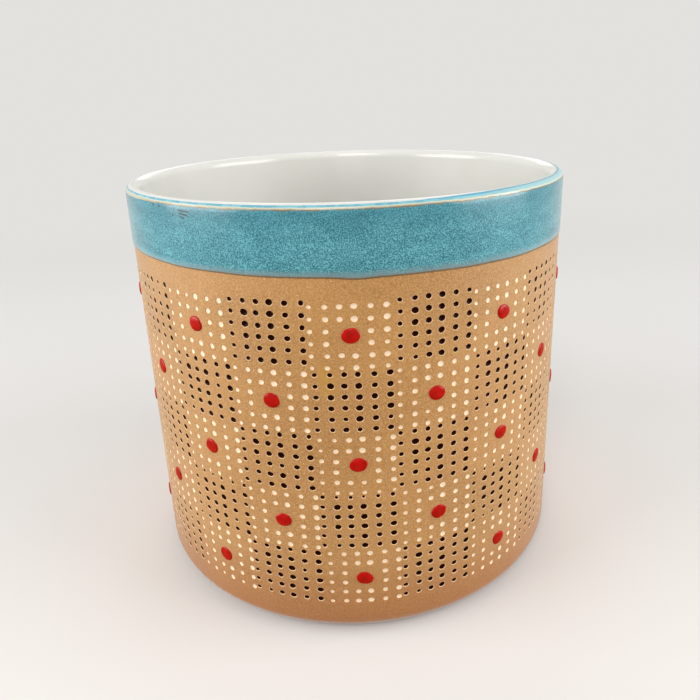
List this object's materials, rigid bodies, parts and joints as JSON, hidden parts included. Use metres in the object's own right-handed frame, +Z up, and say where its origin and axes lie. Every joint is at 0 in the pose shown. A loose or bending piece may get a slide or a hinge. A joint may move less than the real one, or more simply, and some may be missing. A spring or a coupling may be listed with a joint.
{
  "type": "planter pot",
  "caption": "Straight-sided round stoneware planter with a glazed rim band, glazed inside, check of dots with raised glaze drops, and a rubber drain plug.",
  "frame": {"origin": "centre of the foot ring's resting plane", "axes": "+Z up along the pot's axis of symmetry; -Y is the front, the side that faces the camera in the picture"},
  "size_m": [0.1788, 0.1788, 0.161],
  "materials": {
    "clay": "bare buff stoneware, fine specks, matt",
    "turquoise_glaze": "mottled turquoise satin-gloss glaze, thin and tan where it breaks over the lip's edge",
    "cream_glaze": "smooth glossy off-white glaze",
    "red_glaze": "raised glossy red drops",
    "white_glaze": "glossy white glaze that fills the light dots",
    "dark_glaze": "glossy near-black glaze in the dark dots",
    "rubber": "moulded dark grey rubber, matt"
  },
  "bodies": {
    "pot": {"pot_body": "clay", "rim_glaze_band": "turquoise_glaze", "liner_glaze": "cream_glaze", "red_glaze_drop_01": "red_glaze", "red_glaze_drop_02": "red_glaze", "red_glaze_drop_03": "red_glaze", "red_glaze_drop_04": "red_glaze", "red_glaze_drop_05": "red_glaze", "red_glaze_drop_06": "red_glaze", "red_glaze_drop_07": "red_glaze", "red_glaze_drop_08": "red_glaze", "red_glaze_drop_09": "red_glaze", "red_glaze_drop_10": "red_glaze", "red_glaze_drop_11": "red_glaze", "red_glaze_drop_12": "red_glaze", "red_glaze_drop_13": "red_glaze", "red_glaze_drop_14": "red_glaze", "red_glaze_drop_15": "red_glaze", "red_glaze_drop_16": "red_glaze", "red_glaze_drop_17": "red_glaze", "red_glaze_drop_18": "red_glaze", "red_glaze_drop_19": "red_glaze", "red_glaze_drop_20": "red_glaze", "red_glaze_drop_21": "red_glaze", "red_glaze_drop_22": "red_glaze", "red_glaze_drop_23": "red_glaze", "red_glaze_drop_24": "red_glaze", "red_glaze_drop_25": "red_glaze", "red_glaze_drop_26": "red_glaze", "red_glaze_drop_27": "red_glaze", "red_glaze_drop_28": "red_glaze", "red_glaze_drop_29": "red_glaze", "red_glaze_drop_30": "red_glaze", "red_glaze_drop_31": "red_glaze", "red_glaze_drop_32": "red_glaze", "red_glaze_drop_33": "red_glaze", "red_glaze_drop_34": "red_glaze", "red_glaze_drop_35": "red_glaze", "red_glaze_drop_36": "red_glaze", "red_glaze_drop_37": "red_glaze", "red_glaze_drop_38": "red_glaze", "red_glaze_drop_39": "red_glaze", "red_glaze_drop_40": "red_glaze", "red_glaze_drop_41": "red_glaze", "red_glaze_drop_42": "red_glaze", "red_glaze_drop_43": "red_glaze", "red_glaze_drop_44": "red_glaze", "red_glaze_drop_45": "red_glaze", "red_glaze_drop_46": "red_glaze", "red_glaze_drop_47": "red_glaze", "red_glaze_drop_48": "red_glaze", "red_glaze_drop_49": "red_glaze", "red_glaze_drop_50": "red_glaze"},
    "plug": {"drain_plug": "rubber"}
  },
  "joints": [
    {"name": "plug_pull", "type": "slide", "parent": "pot", "child": "plug", "axis": [0, 0, -1], "range_m": [0, 0.03]}
  ]
}
